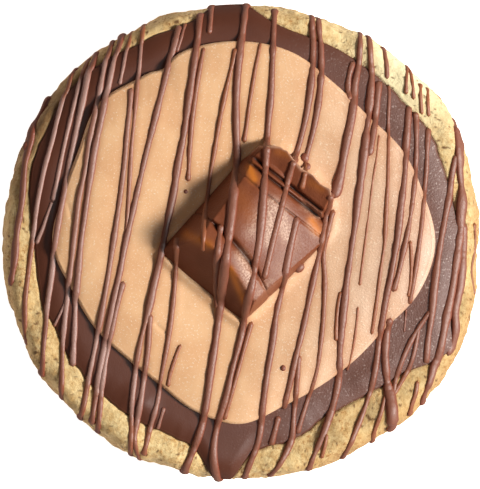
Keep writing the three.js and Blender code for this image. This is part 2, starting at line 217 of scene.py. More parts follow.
# Its grid: rounds up its flank, each a share of the outline and of its height, or millimetres below it
BAR_SIDES = 760
BAR_FLANK = [(0, -1), (0.6, -1), (0.97, -1), (1, -0.8), (1.004, 0), (1.004, 0.5), (1.002, 0.8)]
BAR_STEPS = 112
BAR_CROWDING = 0.9

# The drizzle, one row a strand: far end (x, y), near end (x, y), how far its middle bows to +X, and width
STRANDS = [
    (-43.4, 34.2, -48.5, 21.4, -0.6, 2.5), (-48.5, 21.4, -52.2, -9.5, 0.25, 1.5),
    (-37.1, 40.8, -49.1, -23.5, -2.8, 1.1), (-34.3, 43.2, -42.4, 9.6, -0.5, 1),
    (-42.5, 9.8, -46.2, 0, 0, 0.8), (-39.1, 26.2, -41.6, 14, 0, 0.5), (-32.6, 44.4, -45, -29.5, -1.8, 1.4),
    (-28.8, 47.1, -40.8, -35.5, -2.2, 1.2), (-26.6, 48.4, -37.9, -27.8, -2.4, 1.4),
    (-24.6, 49.5, -27.3, 36, 0, 0.8), (-21.8, 50.9, -25.9, -1.5, -0.4, 0.9),
    (-24.6, 35.5, -36.5, -39.8, 1.5, 1.2), (-13.6, 49.7, -33.9, -41, -1.3, 1.4),
    (-12.2, 50.2, -14.4, 43.4, 0, 0.8), (-26.4, -8.3, -32.5, -43, -0.9, 1.3),
    (-8.8, 52.6, -21, -16, 0.9, 1.6), (-21, -16, -24.6, -48, -1.3, 1.1),
    (-8.1, 44.6, -11.8, 14.2, -0.6, 1.1), (-20.4, -15.6, -24.2, -43.5, 0.7, 1.2),
    (-24.2, -43.5, -22.3, -49.2, -0.4, 1.2), (-6.3, 53.9, -7, 47.4, 0, 1.2),
    (-0.9, 44.5, -8.3, -1.6, -1.2, 0.9), (1.5, 54.1, -0.6, 19.5, -1.1, 1.6),
    (-0.6, 19.5, -8.2, -39.5, 0.4, 1.6), (-8.2, -39.5, -12.9, -52, 0.4, 1.5),
    (-4.2, 4.6, -5, -14.8, -0.6, 1.3), (-14.2, 1.5, -22, -47.8, 1.6, 1.1),
    (-13.4, -22.6, -16.3, -32.4, -0.6, 0.9), (-17.2, -36.8, -18.7, -42, 0, 0.8),
    (4.6, 45.6, 0.9, 23, -0.2, 0.9), (7.9, 53.5, 4.4, 0, 0.4, 1.4), (4.4, 0, -5.1, -41, 0.6, 1.4),
    (-5.1, -41, -4.4, -54, -1.1, 1.6), (2.7, -17.4, -3.6, -39.8, 0, 1), (16.2, 52, 12.1, 18.8, 1.9, 1.4),
    (12.1, 18.8, 5.4, -8, -0.3, 1.3), (17.7, 51.8, 14.8, 19.5, 1.9, 1.4),
    (14.8, 19.5, 13.8, 12.3, 0.3, 0.9), (12.9, 6.4, 4.6, -42, -0.7, 1.4), (4.6, -42, 0.9, -53.4, 0.4, 1.4),
    (27.1, 47.8, 26, 37, 0.5, 1.3), (26, 37, 21.3, 10.4, 0.6, 1.9), (25.7, 41.6, 24.8, 32.6, -0.7, 1.2),
    (28.8, 46.8, 29.6, 36, 0.5, 1.2), (29.6, 36, 25.4, 1, 0.5, 1.7), (25.4, 1, 22.5, -29, -0.4, 1.5),
    (22.5, -29, 15.3, -50.8, 1.3, 1.4), (31.4, 37.2, 29.2, 20, 0.3, 1.6), (31.5, 25, 27.1, -9.5, 0, 0.6),
    (26.7, -14, 24.2, -28.8, 0.5, 0.7), (32.3, 45.2, 33.4, 37.5, 0.4, 1.2), (33.7, 36.3, 32.8, 0, 0.3, 0.9),
    (32.8, 0, 29.8, -20.5, 0, 0.8), (37.9, 40.6, 37.7, 34, 0, 1), (38.3, 40.4, 39.4, 32.8, 0.2, 0.9),
    (40.9, 36.6, 41.3, 29.4, 0, 0.8), (42.6, 35.6, 42.9, 28.9, 0, 0.8), (38.2, 31.6, 31.5, -20.5, 1.2, 1.5),
    (31.5, -20.5, 23, -48.8, 1.8, 1.2), (39.8, 30.2, 34.6, -10.8, 1.9, 1.2), (38.5, 1, 38, -12, 0.5, 0.7),
    (42.6, 26.6, 38.3, -13.6, 0.8, 1.1), (48.3, 29.2, 49.6, 2, 1.4, 1.9), (49.6, 2, 43.8, -29, 0.5, 1.8),
    (43.8, -29, 41.2, -36.8, 0.2, 1.5), (49.2, 20.5, 42, -27, -0.6, 1.4), (48.6, 27, 50.5, 20.5, 0.3, 2.2),
    (50.6, 5, 48.6, -15.5, 0.9, 1.9), (48.6, -15.5, 47.2, -25.4, 1, 2.1),
    (43.3, -14.8, 34.8, -34.2, -1.6, 1.2), (40.4, -18.8, 34.6, -34.6, 1.3, 1),
    (37.7, -14.5, 37.2, -20, 0, 0.5), (34, -16.5, 33.1, -31, -0.6, 1.6), (33.1, -31, 34.4, -43, 0.8, 2.1),
    (33.5, -32, 34.4, -41, 0.5, 2.2), (33.1, -34, 30, -45, 0, 1), (40.3, -30.8, 38.2, -38.6, 0.5, 1),
    (53.4, 5, 52.8, -11.5, 0.2, 0.7), (20.6, 11.4, 9.8, -37.4, 0.4, 1.3), (13.4, -25, 12.1, -41, 0, 1.2),
    (12.1, -41, 6.6, -53.1, 1.2, 1.3), (21.2, 8, 18.8, -3, -0.2, 1.1), (18.8, -3, 16.6, -31.5, 1.2, 1.1),
    (16.6, -31.5, 12.9, -43, 0, 1.1), (22.9, -10.5, 21.8, -22, -0.4, 0.8), (8.8, -38.8, 6.9, -45.7, 0, 1.1),
    (19.7, -42.8, 18.4, -48.5, 0.3, 0.8), (-39.4, -12.8, -42.3, -18.8, 0, 0.6),
    (14.4, -4.3, 12.5, -6.2, 0, 1.5),
]
# Drops that fell off the strands: place and width
DROPS = [
    (-12.3, 12, 0.9), (14.7, 19.7, 2), (15.2, 17.6, 1.7), (9.8, -28, 1.2), (-0.6, 20.9, 1.8),
    (-48.4, 22.4, 2.6),
]
# A drop's grid, and its length and half its height as shares of its width
DROP_SIDES = 20
DROP_ROWS = 14
DROP_LENGTH = 1.15
DROP_HEIGHT = 0.3

# A strand's route is worked out in fine steps and its skin is laid in longer ones
FINE_STEP = 0.1
STRAND_STEP = 0.5
LEAST_STEPS = 8
STRAND_SIDES = 12
STRAND_SPREAD = 1.06
# How far it bridges a dip and rounds a corner, how many fine steps smooth it, and how near the edge it may go
STRAND_SAG = 1.6
CORNER_REACH = 2
PATH_SMOOTHING = 5
STRAND_REACH = 0.998
# How far from its ends it sways in full, where it hangs over the edge, and the stretch of lattice it draws on
SWAY_START = 4
HANG_SHARES = (0.955, 0.975)
LATTICE_LENGTH = 200
# Its section above and below the surface, as shares of half its width
STRAND_CROWN = 0.65
STRAND_SUNK = 0.5
# Its rounded ends in widths, and the bead on them: how much thicker, more where it hangs, and its reach
END_LENGTH = 0.8
END_LEAST = 0.0004
BEAD = 0.1
HANGING_BEAD = 0.4
BEAD_REACH = 0.7
# How much thicker it lies on the bar piece, and how far up that it grows so
POOLED = 0.3
POOL_RISE = (1, 3)
# Widths, with a minus, between which it is thin, and how much painted sheen its crest takes at the left, more
# so on the spread
THIN_WIDTHS = (-1.5, -0.6)
CREST_SHEEN = 0.2
SPREAD_CREST_SHEEN = 0.4
CREST_SHEEN_SIDE = (10, 30)
MARK_SMOOTHING = 2
# The painted shade and stain beside the strands: grid spacing and count, marks across a strand, smoothing in
# cells, strength
STAIN_CELL = 0.2
STAIN_CELLS = 580
STAIN_MARKS = 9
STAIN_STEPS = 3
SHADE_AND_STAIN_STRENGTH = 0.8

# The random numbers that all relief is blended from, and how far off a corner of them the middle lies
LATTICE = np.random.default_rng(17).random((40, 40, 40))
LATTICE_SHIFT = 7.3


def grain(points, size):
    """A smooth random value from -1 to 1 at each point: the eight corners of a cubic lattice with that
    spacing, each a fixed random number, blended by how near the point is to them."""
    place = np.asarray(points, float) / size + LATTICE_SHIFT
    cell = np.floor(place).astype(int)
    near = place - cell
    near = near * near * (3 - 2 * near)
    total = np.zeros(place.shape[:-1])
    for corner in itertools.product((0, 1), repeat=3):
        weight = np.prod(np.where(corner, near, 1 - near), axis=-1)
        i, j, k = np.moveaxis((cell + corner) % len(LATTICE), -1, 0)
        total += weight * LATTICE[i, j, k]
    return 2 * total - 1


def waves(points, sizes):
    """Random relief of several sizes added up, each a height, a size and a shift."""
    return sum(height * grain(points + shift, size) for height, size, shift in sizes)


def smoothstep(value, low, high):
    """0 below low, 1 above high, and a cubic ease between them."""
    t = np.clip((value - low) / (high - low), 0, 1)
    return t * t * (3 - 2 * t)


def span(value, rise, fall):
    """1 between two places, eased in over the first range and out over the second."""
    return smoothstep(value, *rise) * (1 - smoothstep(value, *fall))


def smeared(x, y, lines):
    """How strongly lines with two ends, a reach and a strength each show at every place: a bell curve off
    the nearest part of the line, the strongest line counting."""
    shown = 0 * x
    for start_x, start_y, stop_x, stop_y, reach, strength in lines:
        ahead_x, ahead_y = stop_x - start_x, stop_y - start_y
        share = ((x - start_x) * ahead_x + (y - start_y) * ahead_y) / (ahead_x ** 2 + ahead_y ** 2)
        share = np.clip(share, 0, 1)
        away = np.hypot(x - start_x - share * ahead_x, y - start_y - share * ahead_y)
        shown = np.maximum(shown, strength * np.exp(-((away / reach) ** 2)))
    return shown


def towards(angle, at, half):
    """A bell curve round one direction, given with its half width in degrees."""
    off = np.mod(np.degrees(angle) - at + 180, 360) - 180
    return np.exp(-((off / half) ** 2))


def all_round(sides):
    """Directions all the way round, evenly spaced from +X."""
    return np.arange(sides) * TURN / sides


def circle(angle, radius):
    """Points on a level circle round the middle, one in each direction."""
    return np.stack([radius * np.cos(angle), radius * np.sin(angle), 0 * angle], axis=-1)


def unit(vectors):
    """Vectors brought to a length of 1."""
    return vectors / np.linalg.norm(vectors, axis=-1, keepdims=True)


def radius_at(radii, angle):
    """The radius in each direction, by a closed Catmull-Rom curve through evenly spaced radii."""
    radii = np.asarray(radii, float)
    place = np.mod(angle / TURN, 1) * len(radii)
    first = np.floor(place).astype(int)
    t = place - first
    a, b, c, d = (radii[(first + step) % len(radii)] for step in (-1, 0, 1, 2))
    return b + 0.5 * t * (c - a + t * (2 * a - 5 * b + 4 * c - d + t * (3 * (b - c) + d - a)))


def cookie_edge(angle):
    """The biscuit's radius at its waist."""
    return radius_at(COOKIE_RADII, angle)


def icing_edge(angle):
    """The icing's radius, with its one dent."""
    at, half, depth = ICING_DENT
    return radius_at(ICING_RADII, angle) - depth * towards(angle, at, half)


def spread_edge(angle):
    """The spread's radius: its even edge, a bell curve for each run, and a fine ripple all along it."""
    radius = radius_at(SPREAD_RADII, angle)
    for at, reach, half in SPREAD_RUNS:
        radius = radius + reach * towards(angle, at, half)
    radius = radius + waves(circle(angle, RIPPLE_CIRCLE), EDGE_RIPPLE)
    return np.minimum(radius, RUN_LIMIT * cookie_edge(angle))


def crown(angle, radius):
    """The smooth crown: height = waist + rise x (1 - share^power)^(1 / fullness), share being radius over
    the waist's radius. Gives the points and the way the surface faces there."""
    edge = cookie_edge(angle)
    share = np.clip(radius / edge, 0, 1)
    level = np.maximum(1 - share ** CROWN_POWER, LEAST_LEVEL) ** (1 / CROWN_FULLNESS)
    lean = CROWN_POWER * share ** (CROWN_POWER - 1) / edge
    rise = CROWN_FULLNESS * level ** (CROWN_FULLNESS - 1) / CROWN_RISE
    across, along = np.cos(angle), np.sin(angle)
    height = WAIST_HEIGHT + CROWN_RISE * level
    point = np.stack([share * edge * across, share * edge * along, height], axis=-1)
    return point, unit(np.stack([lean * across, lean * along, rise], axis=-1))


def dough(point, angle, radius):
    """How far the bare skin of the biscuit stands out from its smooth form, none under the spread: lumps as
    two sine waves round the rim slanted with height, and crags of about 6 and 2.4 mm."""
    outside = radius - spread_edge(angle)
    drifted = angle + LUMP_DRIFT * np.sin(LUMP_DRIFT_WAVES * angle)
    slant = LUMP_SLANT * point[..., 2]
    lumps = LUMP_HEIGHT * np.sin(LUMPS_ROUND * drifted + slant) * np.cos(LUMP_GROUPS * angle + slant)
    return lumps * smoothstep(outside, *LUMP_RISE) + waves(point, CRAGS) * smoothstep(outside, *CRAG_RISE)


def lip(angle, radius):
    """How much higher the bare rim stands than the smooth crown: a step level with the spread's edge and a
    bell curve over the rim's breadth, none under the spread."""
    breadth = np.maximum(cookie_edge(angle) - spread_edge(angle), LEAST_BREADTH)
    outside = radius - spread_edge(angle)
    bell = np.exp(-((outside / breadth - LIP_CREST) / LIP_REACH) ** 2)
    return (LIP_STEP + LIP_HEIGHT * breadth * bell) * smoothstep(outside, *LIP_RISE)


def pour(inside, edge_height, edge_reach, swell_height, swell_reach):
    """A poured layer's height at a distance in from its edge: a quarter round plus a slow parabola."""
    near = 1 - np.clip(inside / edge_reach, 0, 1)
    far = 1 - np.clip(inside / swell_reach, 0, 1)
    return edge_height * np.sqrt(1 - near ** 2) + swell_height * (1 - far ** 2)


def closed_rows(rows):
    """Vertices and faces of a closed skin from rows of points: each row runs round and joins its own start,
    and the first and the last row shrink to a point."""
    count, sides = rows.shape[:2]
    middle = rows[1:-1].reshape(-1, 3)
    points = np.concatenate([rows[0, :1], middle, rows[-1, :1]])
    index = 1 + np.arange((count - 2) * sides).reshape(count - 2, sides)
    ahead = np.roll(index, -1, axis=1)
    quads = np.stack([index[:-1], ahead[:-1], ahead[1:], index[1:]], axis=-1).reshape(-1, 4)
    first = np.stack([0 * index[0], ahead[0], index[0]], axis=-1)
    last = np.stack([0 * index[-1] + len(points) - 1, index[-1], ahead[-1]], axis=-1)
    return points, quads, np.concatenate([first, last])


def joined(skins):
    """Several closed skins as one list of vertices and faces."""
    starts = np.cumsum([0] + [len(skin[0]) for skin in skins[:-1]])
    points = np.concatenate([skin[0] for skin in skins])
    quads = np.concatenate([skin[1] + start for skin, start in zip(skins, starts)])
    ends = np.concatenate([skin[2] + start for skin, start in zip(skins, starts)])
    return points, quads, ends


def piece(name, skin, material, slot, nodes, **values):
    """A smooth mesh at the origin from a skin in millimetres, with one number at each vertex for every value
    given. It stands for the solids of the nodes named."""
    points, quads, ends = skin
    mesh = bpy.data.meshes.new(name)
    mesh.from_pydata((points * MM).tolist(), [], quads.tolist() + ends.tolist())
    mesh.polygons.foreach_set("use_smooth", np.ones(len(mesh.polygons), bool))
    for key, value in values.items():
        mesh.attributes.new(key, "FLOAT", "POINT").data.foreach_set("value", value.astype(np.float32))
    mesh.materials.append(material)
    made = bpy.data.objects.new(name, mesh)
    bpy.context.scene.collection.objects.link(made)
    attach(made, "root")
    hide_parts(*nodes)


# The baked biscuit

def pits(point):
    """How open the crumb is at each point, 0 to 1: pits of about 0.8 mm where a random value is high."""
    return smoothstep(grain(point + PIT_SHIFT, PIT_SIZE), *PIT_OPENS)


def crumb(point, side):
    """Crumbs of about 1 mm standing out of the skin, coarser ones on its side, and pits sunk into it."""
    return waves(point, CRUMBS) + side * waves(point, SIDE_CRUMBS) - PIT_DEPTH * pits(point)


def crown_shares():
    """Shares of the waist's radius for the crown's rows, evenly spaced up its section from the waist."""
    level = np.linspace(0, 1, SECTION_STEPS, endpoint=False)
    share = (1 - level ** CROWN_FULLNESS) ** (1 / CROWN_POWER)
    run = np.hypot(np.diff(share) * COOKIE_RADII[0], np.diff(level) * CROWN_RISE)
    run = np.concatenate([[0], np.cumsum(run)])
    return np.interp(np.arange(0, run[share > CROWN_INNERMOST][-1], CROWN_STEP), run, share)


def cookie_rows():
    """Round the biscuit by angle, and along its section from the middle of the underside, up the foot's
    quarter curve and over the crown. The dough's relief, its pits and crumbs of about 1 mm push the bare
    skin out along the way it faces."""
    angle = all_round(COOKIE_SIDES)
    edge = cookie_edge(angle)
    outward = circle(angle, 1)
    rows = [np.zeros((COOKIE_SIDES, 3))]
    for share in UNDERSIDE_SHARES:
        rows.append(outward * (share * (edge - FOOT_INSET))[:, None])
    for lift in np.linspace(0, math.pi / 2, FOOT_ROWS, endpoint=False):
        height = WAIST_HEIGHT * (1 - math.cos(lift))
        radius = edge - FOOT_INSET * (1 - math.sin(lift))
        point = outward * radius[:, None] + np.array([0, 0, height])
        facing = outward * math.sin(lift) - np.array([0, 0, math.cos(lift)])
        push = dough(point, angle, edge) + crumb(point, 1)
        rows.append(point + facing * (push * math.sin(lift))[:, None])
    for share in [*crown_shares(), *COVERED_SHARES]:
        radius = share * edge
        point, facing = crown(angle, radius)
        bare = smoothstep(radius - spread_edge(angle), *CRAG_RISE)
        push = dough(point, angle, radius) + crumb(point, smoothstep(share, *SIDE_SHARES)) * bare
        risen = (point[:, 2] - WAIST_HEIGHT) / CROWN_RISE
        point[:, 2] += lip(angle, radius) * smoothstep(risen, 0, SHOULDER)
        rows.append(point + facing * push[:, None])
    rows.append(np.tile([0, 0, WAIST_HEIGHT + CROWN_RISE], (COOKIE_SIDES, 1)))
    return np.array(rows, float)


# Poured layers

def layer_rows(edge_at, sides, bottom, form, shares, relief):
    """A layer poured over the crown out to an edge, all measured along the way the crown faces: a sunk
    underside, the quarter round of its edge, and its swelling top with its own relief."""
    angle = all_round(sides)
    edge = edge_at(angle)
    rows = []
    for share in LAYER_UNDERSIDE:
        point, facing = crown(angle, share * edge)
        rows.append(point + facing * (bottom - LAYER_SUNK))
    edge_reach = form[1]
    insets = edge_reach * (1 - np.cos(np.radians(EDGE_TURNS)))
    radii = [edge - inset for inset in insets] + [share * (edge - edge_reach) for share in shares]
    for radius in radii:
        point, facing = crown(angle, radius)
        settled = np.clip((edge - radius) / edge_reach, 0, 1)
        lift = bottom + pour(edge - radius, *form) + relief(point) * settled
        rows.append(point + facing * lift[:, None])
    rows[-1] = np.tile(rows[-1].mean(axis=0), (sides, 1))
    return np.array(rows)


def spread_relief(point):
    """The spread settles in slow waves of about 14 and 6 mm, with a faint drag of about 3 mm, and heaps up a
    little in a few places."""
    return smeared(point[..., 0], point[..., 1], SPREAD_HEAPS) + waves(point, SPREAD_WAVES)


def icing_relief(point):
    """The icing settles in slow waves of about 12 mm, with ripples of about 4 and 1.2 mm and a few creases.
    It stands up in a soft rim where the bar piece was pressed into it, and swells in a parabola inside its
    lower right edge."""
    x, y = point[..., 0], point[..., 1]
    angle, radius = np.arctan2(y, x), np.hypot(x, y)
    rim = SQUEEZED_HEIGHT * np.exp(-(inside_bar(*bar_frame(x, y)) / SQUEEZED_REACH) ** 2)
    middle, height, reach = ICING_SWELL
    swell = height * (1 - (1 - np.clip((icing_edge(angle) - radius) / reach, 0, 1)) ** 2)
    swell = swell * smoothstep(np.cos(angle - math.radians(middle)), *SWELL_COSINES)
    swell = swell * smoothstep(radius, *SWELL_RADII)
    return rim + swell - smeared(x, y, ICING_CREASES) + waves(point, ICING_WAVES)


# The broken bar piece

def bar_frame(x, y):
    """A place of the cookie's frame as along and across the bar. The frame is turned and flipped, so the same
    sum leads back."""
    cosine, sine = math.cos(PIECE_TURN), math.sin(PIECE_TURN)
    return x * cosine + y * sine, x * sine - y * cosine


def bar_outline(angle):
    """How far the bar piece's outline of straight sides lies from its middle in each direction."""
    corners = np.array(PIECE_OUTLINE, float) - PIECE_MIDDLE
    turn = np.mod(np.arctan2(corners[:, 1], corners[:, 0]), TURN)
    order = np.argsort(turn)
    corners, turn = corners[order], turn[order]
    after = np.searchsorted(turn, np.mod(angle, TURN)) % len(turn)
    start, stop = corners[after - 1], corners[after]
    side = stop - start
    reach = start[:, 0] * side[:, 1] - start[:, 1] * side[:, 0]
    return reach / (np.cos(angle) * side[:, 1] - np.sin(angle) * side[:, 0])


def inside_bar(along, across):
    """How far inside the bar piece's outline a place lies, out from its middle, and below 0 outside it."""
    off_along, off_across = along - PIECE_MIDDLE[0], across - PIECE_MIDDLE[1]
    return bar_outline(np.arctan2(off_across, off_along)) - np.hypot(off_along, off_across)


def sloping_face(face, along, across):
    """The height of the plane through three places, each given along, across and up."""
    corners = np.array(face, float)
    slope = np.linalg.solve(np.column_stack([corners[:, :2], np.ones(3)]), corners[:, 2])
    return slope[0] * along + slope[1] * across + slope[2]


def lowest(heights):
    """The lowest of several heights, with the edges between them softened."""
    limited = [np.clip(height, -HEIGHT_LIMIT, HEIGHT_LIMIT) for height in heights]
    return -EDGE_SOFTNESS * np.log(sum(np.exp(-height / EDGE_SOFTNESS) for height in limited))


def bar_top(along, across):
    """The block's top: a steady fall towards the far end, and a roll towards +across whose fall for each
    millimetre grows evenly between two places and then stays. It rounds off towards -across too."""
    rolled = np.clip(across, *ROLL) - ROLL[0]
    roll = ROLL_FALL * (rolled ** 2 / (2 * (ROLL[1] - ROLL[0])) + np.maximum(across - ROLL[1], 0))
    rounded = BACK_ROUND * np.maximum(BACK_START - across, 0) ** 2
    return PIECE_HEIGHT - TOP_FALL * np.maximum(along - TOP_FALL_START, 0) - roll - rounded


def line_cut(off, width, depth):
    """A groove with a bell-shaped section."""
    return depth * np.exp(-((off / width) ** 2))


def crossing(along, across):
    """How far along the bar a place lies from the bent line of the groove across its top."""
    place, slant, bow = CROSSING_BEND
    return along + place + slant * across + bow * across ** 2


def bar_height(along, across):
    """The bar piece over its underside: the lowest of the block's faces, or the stub where that stands
    higher, less the pair of grooves between them, the groove that crosses the top with its dip, and the
    creases of the flank."""
    flat = np.stack([along, across, 0 * along], axis=-1)
    far = bar_top(FAR_EDGE, across) - FAR_FALL * (along - FAR_EDGE)
    block = [sloping_face(face, along, across) for face in BLOCK_FACES]
    block = lowest([*block, bar_top(along, across), far])
    stub = lowest([sloping_face(face, along, across) for face in STUB_FACES]) + waves(flat, STUB_BREAK)
    height = np.maximum(block, stub)
    off = crossing(along, across)
    on_top = smoothstep(across, *CROSSING_START)
    fold = smoothstep(across, *CROSSING_FOLD)
    height = height - on_top * ((1 - fold) * line_cut(off, *TOP_GROOVE) + line_cut(off, *TOP_DIP))
    height = height - on_top * fold * line_cut(off, *FOLD_GROOVE)
    for line in GROOVE_LINES:
        height = height - line_cut(along - line, *FAR_GROOVE) * smoothstep(across, *FAR_GROOVE_START)
    height = height - line_cut(along - FAR_EDGE, *CREST_GROOVE) - smeared(along, across, FLANK_CREASES)
    return height + waves(flat, BAR_WAVES)


def grooves(along, across):
    """How deep in a groove each place of the bar lies, 0 to 1, which sets the painted shade there."""
    top = line_cut(crossing(along, across), *TOP_SHADE) * span(across, *TOP_SPAN)
    far = sum(line_cut(along - line, *FAR_SHADE) for line in GROOVE_LINES) * span(across, *FAR_SPAN)
    crest = line_cut(along - FAR_EDGE, *CREST_SHADE) * span(across, *CREST_SPAN)
    return np.clip(top + far + crest + smeared(along, across, FLANK_CREASES), 0, 1)


def bar_rows():
    """The bar piece in circles round its middle, from the middle of its underside out to its outline, up the
    broken side and in over its top."""
    angle = all_round(BAR_SIDES)
    reach = bar_outline(angle) + waves(circle(angle, BROKEN_CIRCLE), BROKEN_EDGE)
    rounds = BAR_FLANK + [(share, 1) for share in np.linspace(1, 0, BAR_STEPS) ** BAR_CROWDING]
    made = []
    for share, rise in rounds:
        along = PIECE_MIDDLE[0] + share * reach * np.cos(angle)
        across = PIECE_MIDDLE[1] + share * reach * np.sin(angle)
        height = np.maximum(bar_height(along, across), LEAST_HEIGHT)
        x, y = bar_frame(along, across)
        made.append(np.stack([x, y, PIECE_BOTTOM + np.where(rise < 0, rise, height * rise)], axis=-1))
    return np.array(made)[:, ::-1]


# The drizzle

def on_surface(x, y):
    """The point of the crown under each place, the way it faces, and how much lies on it there in all."""
    angle = np.arctan2(y, x)
    radius = np.minimum(np.hypot(x, y), STRAND_REACH * cookie_edge(angle))
    x, y = radius * np.cos(angle), radius * np.sin(angle)
    point, facing = crown(angle, radius)
    cover = dough(point, angle, radius)
    point[:, 2] += lip(angle, radius)
    layers = [(spread_edge, SPREAD_POUR, spread_relief), (icing_edge, ICING_POUR, icing_relief)]
    for edge_at, form, relief in layers:
        inside = edge_at(angle) - radius
        settled = np.clip(inside / form[1], 0, 1)
        cover = cover + np.where(inside > 0, GAP + pour(inside, *form) + relief(point) * settled, 0)
    along, across = bar_frame(x, y)
    lift = PIECE_BOTTOM + np.maximum(bar_height(along, across), 0) - point[:, 2]
    return point, facing, np.where(inside_bar(along, across) > 0, np.maximum(lift, cover), cover)


def averaged(values, steps):
    """A running mean over so many steps either way, which keeps both ends where they are."""
    steps = min(steps, len(values) - 1)
    padded = np.pad(values, ((steps + 1, steps), (0, 0)), mode="reflect", reflect_type="odd")
    total = np.cumsum(padded, axis=0)
    return (total[2 * steps + 1:] - total[:-2 * steps - 1]) / (2 * steps + 1)


def strand_rows():
    """STRANDS gathered into whole strands: a row that starts where the one before it ends goes on from it."""
    strands = []
    for row in STRANDS:
        if strands and strands[-1][-1][2:4] == row[:2]:
            strands[-1].append(row)
        else:
            strands.append([row])
    return strands


def strand_line(rows):
    """A strand's places and widths in fine steps: each row's parabola in turn, with corners averaged out."""
    line = []
    for far_x, far_y, near_x, near_y, bow, width in rows:
        count = math.ceil(math.hypot(near_x - far_x, near_y - far_y) / FINE_STEP)
        t = np.arange(count + 1) / count
        x = far_x + (near_x - far_x) * t + 4 * bow * t * (1 - t)
        y = far_y + (near_y - far_y) * t
        line.append(np.stack([x, y, 0 * t + width], axis=-1))
    return averaged(np.concatenate(line), round(CORNER_REACH / FINE_STEP))


def lane(run, phase):
    """The places that lie so far along a strand's own line through the random lattice."""
    return phase + run[:, None] * np.array([1, 0, 0])


def strand_course(rows, phase):
    """A strand's course in even steps: it sways between its ends, lies on the cookie and bridges small
    steps. Gives how far along each step is, its point, the way the cookie faces there, the width and how far
    it hangs over."""
    line = strand_line(rows)
    walk = np.arange(len(line)) * FINE_STEP
    free = np.clip(np.minimum(walk, walk[-1] - walk) / SWAY_START, 0, 1)
    x, y = line[:, 0] + waves(lane(walk, phase), STRAND_SWAY) * free, line[:, 1]
    hang = smoothstep(np.hypot(x, y) / cookie_edge(np.arctan2(y, x)), *HANG_SHARES)
    point, facing, cover = on_surface(x, y)
    mean = averaged(cover[:, None], round(STRAND_SAG / FINE_STEP))[:, 0]
    path = averaged(point + facing * np.maximum(cover, mean)[:, None], PATH_SMOOTHING)
    run = np.concatenate([[0], np.cumsum(np.linalg.norm(np.diff(path, axis=0), axis=1))])
    stops = np.linspace(0, run[-1], max(LEAST_STEPS, math.ceil(run[-1] / STRAND_STEP)) + 1)
    laid = np.column_stack([path, facing, line[:, 2], hang])
    laid = np.column_stack([np.interp(stops, run, column) for column in laid.T])
    return stops, laid[:, :3], laid[:, 3:6], laid[:, 6], laid[:, 7]


def strand_marks(path, width):
    """How far a strand is thin and lies on something pale at each step, and how much painted sheen it takes:
    more so on the spread, not on the rim, and only at the left."""
    angle, radius = np.arctan2(path[:, 1], path[:, 0]), np.hypot(path[:, 0], path[:, 1])
    on_spread = (radius > icing_edge(angle)) & (radius < spread_edge(angle))
    on_rim = radius > spread_edge(angle)
    thin = smoothstep(-width, *THIN_WIDTHS) * averaged(1 - on_spread[:, None], MARK_SMOOTHING)[:, 0]
    frosted = CREST_SHEEN + SPREAD_CREST_SHEEN * on_spread - CREST_SHEEN * on_rim
    return thin, smoothstep(-path[:, 0], *CREST_SHEEN_SIDE) * averaged(frosted[:, None], MARK_SMOOTHING)[:, 0]


def strand_skin(rows, draws):
    """A strand: an oval section, taller above than below, carried along its course, with an uneven width,
    thicker on the bar piece, and rounded ends that swell where they hang over the side. Gives the skin and,
    at each vertex, how thin it is, how high on the section, and how much painted sheen its crest takes."""
    phase = draws.uniform(0, LATTICE_LENGTH, 3)
    stops, path, facing, width, hang = strand_course(rows, phase)
    ahead = unit(np.gradient(path, axis=0))
    side = unit(np.cross(facing, ahead))
    up = np.cross(ahead, side)
    end = np.minimum(stops, stops[-1] - stops) / width
    taper = np.sqrt(np.clip(1 - (1 - np.clip(end / END_LENGTH, 0, 1)) ** 2, END_LEAST, 1))
    bead = 1 + (BEAD + HANGING_BEAD * hang / width) * np.exp(-((end - END_LENGTH) / BEAD_REACH) ** 2)
    uneven = 1 + waves(lane(stops, phase), STRAND_UNEVEN)
    pooled = 1 + POOLED * smoothstep(path[:, 2] - PIECE_BOTTOM, *POOL_RISE)
    half = 0.5 * STRAND_SPREAD * width * taper * bead * uneven * pooled
    turn = all_round(STRAND_SIDES)
    high = np.sin(turn) * np.where(np.sin(turn) > 0, STRAND_CROWN, STRAND_SUNK)
    section = side[:, None] * np.cos(turn)[:, None] + up[:, None] * high[:, None]
    skin = closed_rows(path[:, None] + section * half[:, None, None])
    thin, frost = strand_marks(path, width)
    crest = np.concatenate([[0.5], np.tile(np.clip(np.sin(turn), 0, 1), len(stops) - 2), [0.5]])
    step = np.concatenate([[0], np.repeat(np.arange(1, len(stops) - 1), STRAND_SIDES), [-1]])
    return skin, thin[step], crest, frost[step] * crest


def stain_cell(place):
    """The cell of the stain's grid that a place lies in, counted from one side."""
    return np.clip(np.round(place / STAIN_CELL).astype(int) + STAIN_CELLS // 2, 0, STAIN_CELLS - 1)


def drizzle_stain(x, y):
    """How much painted shade and cocoa butter stain lies beside the strands at each place, 0 to 1: every
    strand drawn on a grid as wide as it is, smoothed by two running means each way, and read off at the
    nearest cell."""
    marks = np.zeros((STAIN_CELLS, STAIN_CELLS))
    for rows in strand_rows():
        line = strand_line(rows)
        for off in np.linspace(-0.5, 0.5, STAIN_MARKS):
            marks[stain_cell(line[:, 0] + off * line[:, 2]), stain_cell(line[:, 1])] = 1
    for _ in range(2):
        marks = averaged(averaged(marks, STAIN_STEPS).T, STAIN_STEPS).T
    return SHADE_AND_STAIN_STRENGTH * marks[stain_cell(x), stain_cell(y)]


